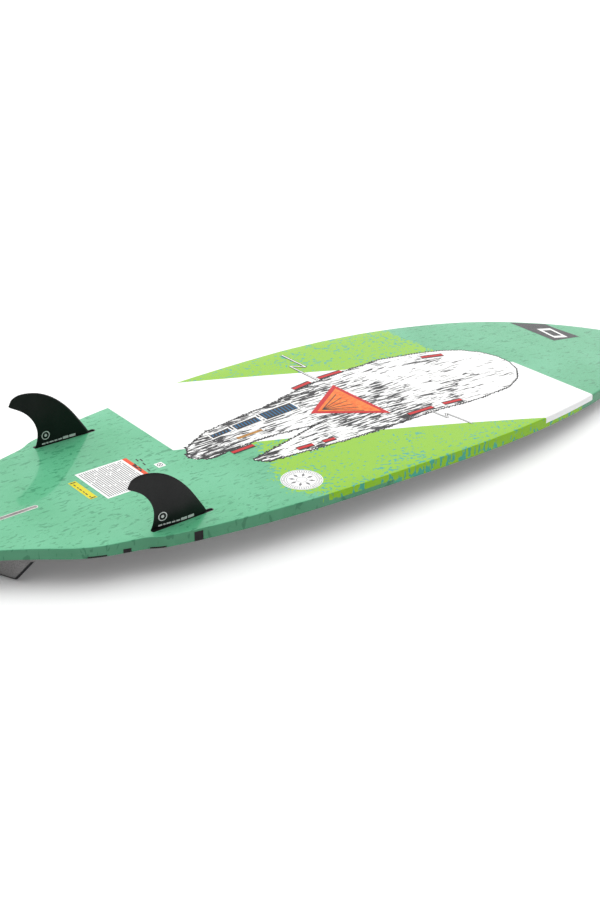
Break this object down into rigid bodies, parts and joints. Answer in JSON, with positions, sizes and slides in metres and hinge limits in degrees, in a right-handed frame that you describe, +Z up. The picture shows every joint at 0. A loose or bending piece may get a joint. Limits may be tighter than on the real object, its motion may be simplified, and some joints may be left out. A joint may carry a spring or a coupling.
{
  "type": "surf-style kiteboard",
  "caption": "Directional surf-style kiteboard with removable side fins, an empty centre fin box, grooved tail and front pads, strap inserts, a leash plug and a vent.",
  "frame": {"origin": "on the surface the board rests on, under the middle of its box", "axes": "+X to the nose, +Z up out of the bottom skin, since the board lies on its deck with its fins up; the rider's left is -Y"},
  "size_m": [1.5, 0.508, 0.171],
  "materials": {
    "printed_laminate": "printed fibreglass laminate under a clear gloss coat",
    "deck_laminate": "printed fibreglass laminate, satin",
    "foam": "expanded polystyrene foam",
    "dense_foam": "closed-cell structural foam",
    "wood_strip": "paulownia strip",
    "fin_black": "moulded glass-filled nylon, gloss black",
    "box_dark": "moulded fin box",
    "box_pale": "moulded fin box, pale",
    "stainless": "stainless steel",
    "eva_grey": "EVA foam, grooved, matt",
    "insert_brass": "threaded brass insert",
    "fitting_black": "moulded deck fitting",
    "seal": "O-ring"
  },
  "bodies": {
    "board": {"bottom_laminate": "printed_laminate", "deck_laminate": "deck_laminate", "tail_deck_laminate": "deck_laminate", "tail_block": "dense_foam", "foam_core_left": "foam", "foam_core_right": "foam", "stringer": "wood_strip", "left_fin_box": "box_dark", "right_fin_box": "box_dark", "centre_fin_box": "box_pale", "tail_pad_left": "eva_grey", "tail_pad_centre": "eva_grey", "tail_pad_right": "eva_grey", "front_pad_left": "eva_grey", "front_pad_right": "eva_grey", "front_strap_inserts": "insert_brass", "rear_strap_inserts": "insert_brass", "leash_plug_cup": "fitting_black", "leash_plug_pin": "stainless", "vent_body": "fitting_black", "vent_seal": "seal"},
    "left_fin": {"left_fin": "fin_black"},
    "right_fin": {"right_fin": "fin_black"},
    "left_fin_screw": {"left_fin_screw": "stainless"},
    "right_fin_screw": {"right_fin_screw": "stainless"},
    "centre_fin_screw": {"centre_fin_screw": "stainless"},
    "vent_screw": {"vent_screw": "fitting_black"}
  },
  "joints": [
    {"name": "left_fin_lift", "type": "slide", "parent": "board", "child": "left_fin", "axis": [0, 0, 1], "range_m": [0, 0.02]},
    {"name": "right_fin_lift", "type": "slide", "parent": "board", "child": "right_fin", "axis": [0, 0, 1], "range_m": [0, 0.02]},
    {"name": "left_fin_screw_turn", "type": "hinge", "parent": "board", "child": "left_fin_screw", "pos_m": [-0.36769, -0.17569, 0.0596], "axis": [0, 0, 1], "range_deg": [0, 360]},
    {"name": "right_fin_screw_turn", "type": "hinge", "parent": "board", "child": "right_fin_screw", "pos_m": [-0.36769, 0.17569, 0.0596], "axis": [0, 0, 1], "range_deg": [0, 360]},
    {"name": "centre_fin_screw_turn", "type": "hinge", "parent": "board", "child": "centre_fin_screw", "pos_m": [-0.58415, 0, 0.05864], "axis": [0, 0, 1], "range_deg": [0, 360]},
    {"name": "vent_screw_turn", "type": "hinge", "parent": "board", "child": "vent_screw", "pos_m": [0.33, 0.032, 0.03], "axis": [0, 0, -1], "range_deg": [0, 360]}
  ]
}
